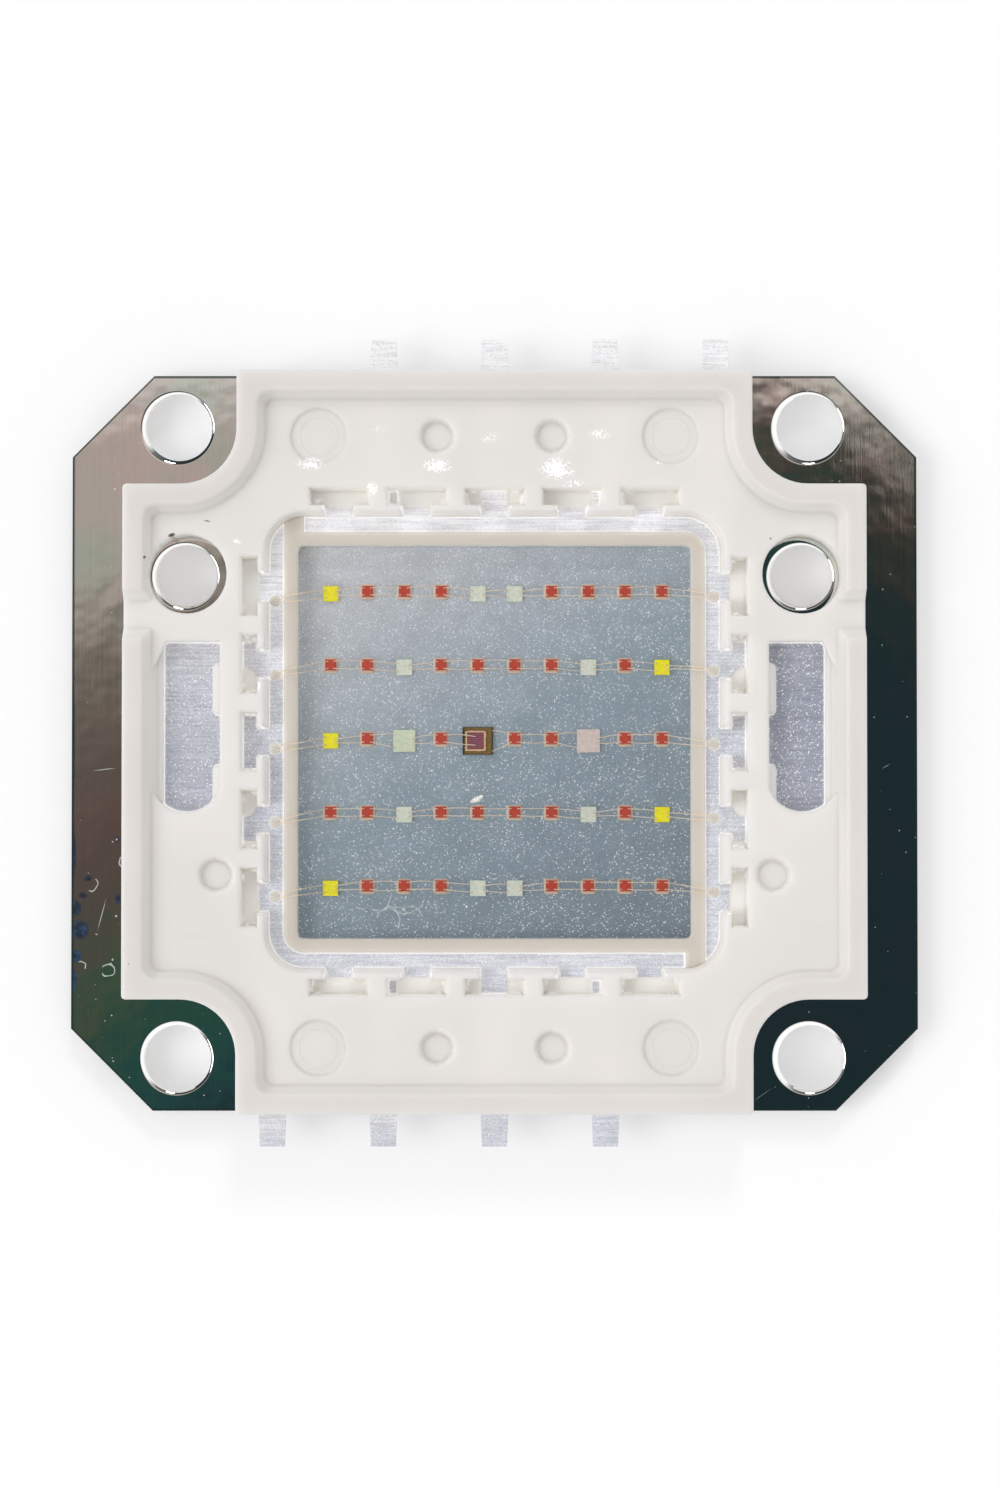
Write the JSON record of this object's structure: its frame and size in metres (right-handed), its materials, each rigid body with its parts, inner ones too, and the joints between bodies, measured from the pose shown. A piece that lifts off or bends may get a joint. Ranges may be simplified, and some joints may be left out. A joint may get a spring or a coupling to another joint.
{
  "type": "multi-chip cob led emitter",
  "caption": "Square chip-on-board LED emitter: white moulded housing on a plated copper plate, with strings of coloured dies under clear gel and solder pads at the sides.",
  "frame": {"origin": "centre of the base plate's underside", "axes": "+Z out of the light window, +X along the die strings from the one solder pad to the other, +Y across the strings towards the side openings"},
  "size_m": [0.046, 0.0438, 0.0043],
  "materials": {
    "plated_copper": "mirror-bright nickel plating",
    "white_moulding": "matte moulded",
    "silvered_lead": "silver-plated, satin",
    "gilt_submount": "gold-plated",
    "bond_gold": "drawn wire",
    "cap_resin": "clear cured drop",
    "clear_gel": "clear, smooth",
    "red_die": "sawn die, bright top",
    "yellow_die": "phosphor coated",
    "pale_die": "clear-topped die",
    "pale_green_die": "clear-topped die",
    "pale_pink_die": "clear-topped die",
    "infrared_die": "sawn die with gold fingers"
  },
  "bodies": {
    "root": {"base_plate": "plated_copper", "bond_caps": "cap_resin", "encapsulant": "clear_gel", "housing": "white_moulding", "infrared_die_3_05": "infrared_die", "infrared_submount": "gilt_submount", "lead_left_bottom": "silvered_lead", "lead_top_right": "silvered_lead", "lead_wires": "bond_gold", "pale_die_1_05": "pale_die", "pale_die_1_06": "pale_die", "pale_die_2_03": "pale_die", "pale_die_2_08": "pale_die", "pale_die_4_03": "pale_die", "pale_die_4_08": "pale_die", "pale_die_5_05": "pale_die", "pale_die_5_06": "pale_die", "pale_green_die_3_03": "pale_green_die", "pale_pink_die_3_08": "pale_pink_die", "red_die_1_02": "red_die", "red_die_1_03": "red_die", "red_die_1_04": "red_die", "red_die_1_07": "red_die", "red_die_1_08": "red_die", "red_die_1_09": "red_die", "red_die_1_10": "red_die", "red_die_2_01": "red_die", "red_die_2_02": "red_die", "red_die_2_04": "red_die", "red_die_2_05": "red_die", "red_die_2_06": "red_die", "red_die_2_07": "red_die", "red_die_2_09": "red_die", "red_die_3_02": "red_die", "red_die_3_04": "red_die", "red_die_3_06": "red_die", "red_die_3_07": "red_die", "red_die_3_09": "red_die", "red_die_3_10": "red_die", "red_die_4_01": "red_die", "red_die_4_02": "red_die", "red_die_4_04": "red_die", "red_die_4_05": "red_die", "red_die_4_06": "red_die", "red_die_4_07": "red_die", "red_die_4_09": "red_die", "red_die_5_02": "red_die", "red_die_5_03": "red_die", "red_die_5_04": "red_die", "red_die_5_07": "red_die", "red_die_5_08": "red_die", "red_die_5_09": "red_die", "red_die_5_10": "red_die", "string_wires": "bond_gold", "yellow_die_1_01": "yellow_die", "yellow_die_2_10": "yellow_die", "yellow_die_3_01": "yellow_die", "yellow_die_4_10": "yellow_die", "yellow_die_5_01": "yellow_die"}
  },
  "joints": []
}
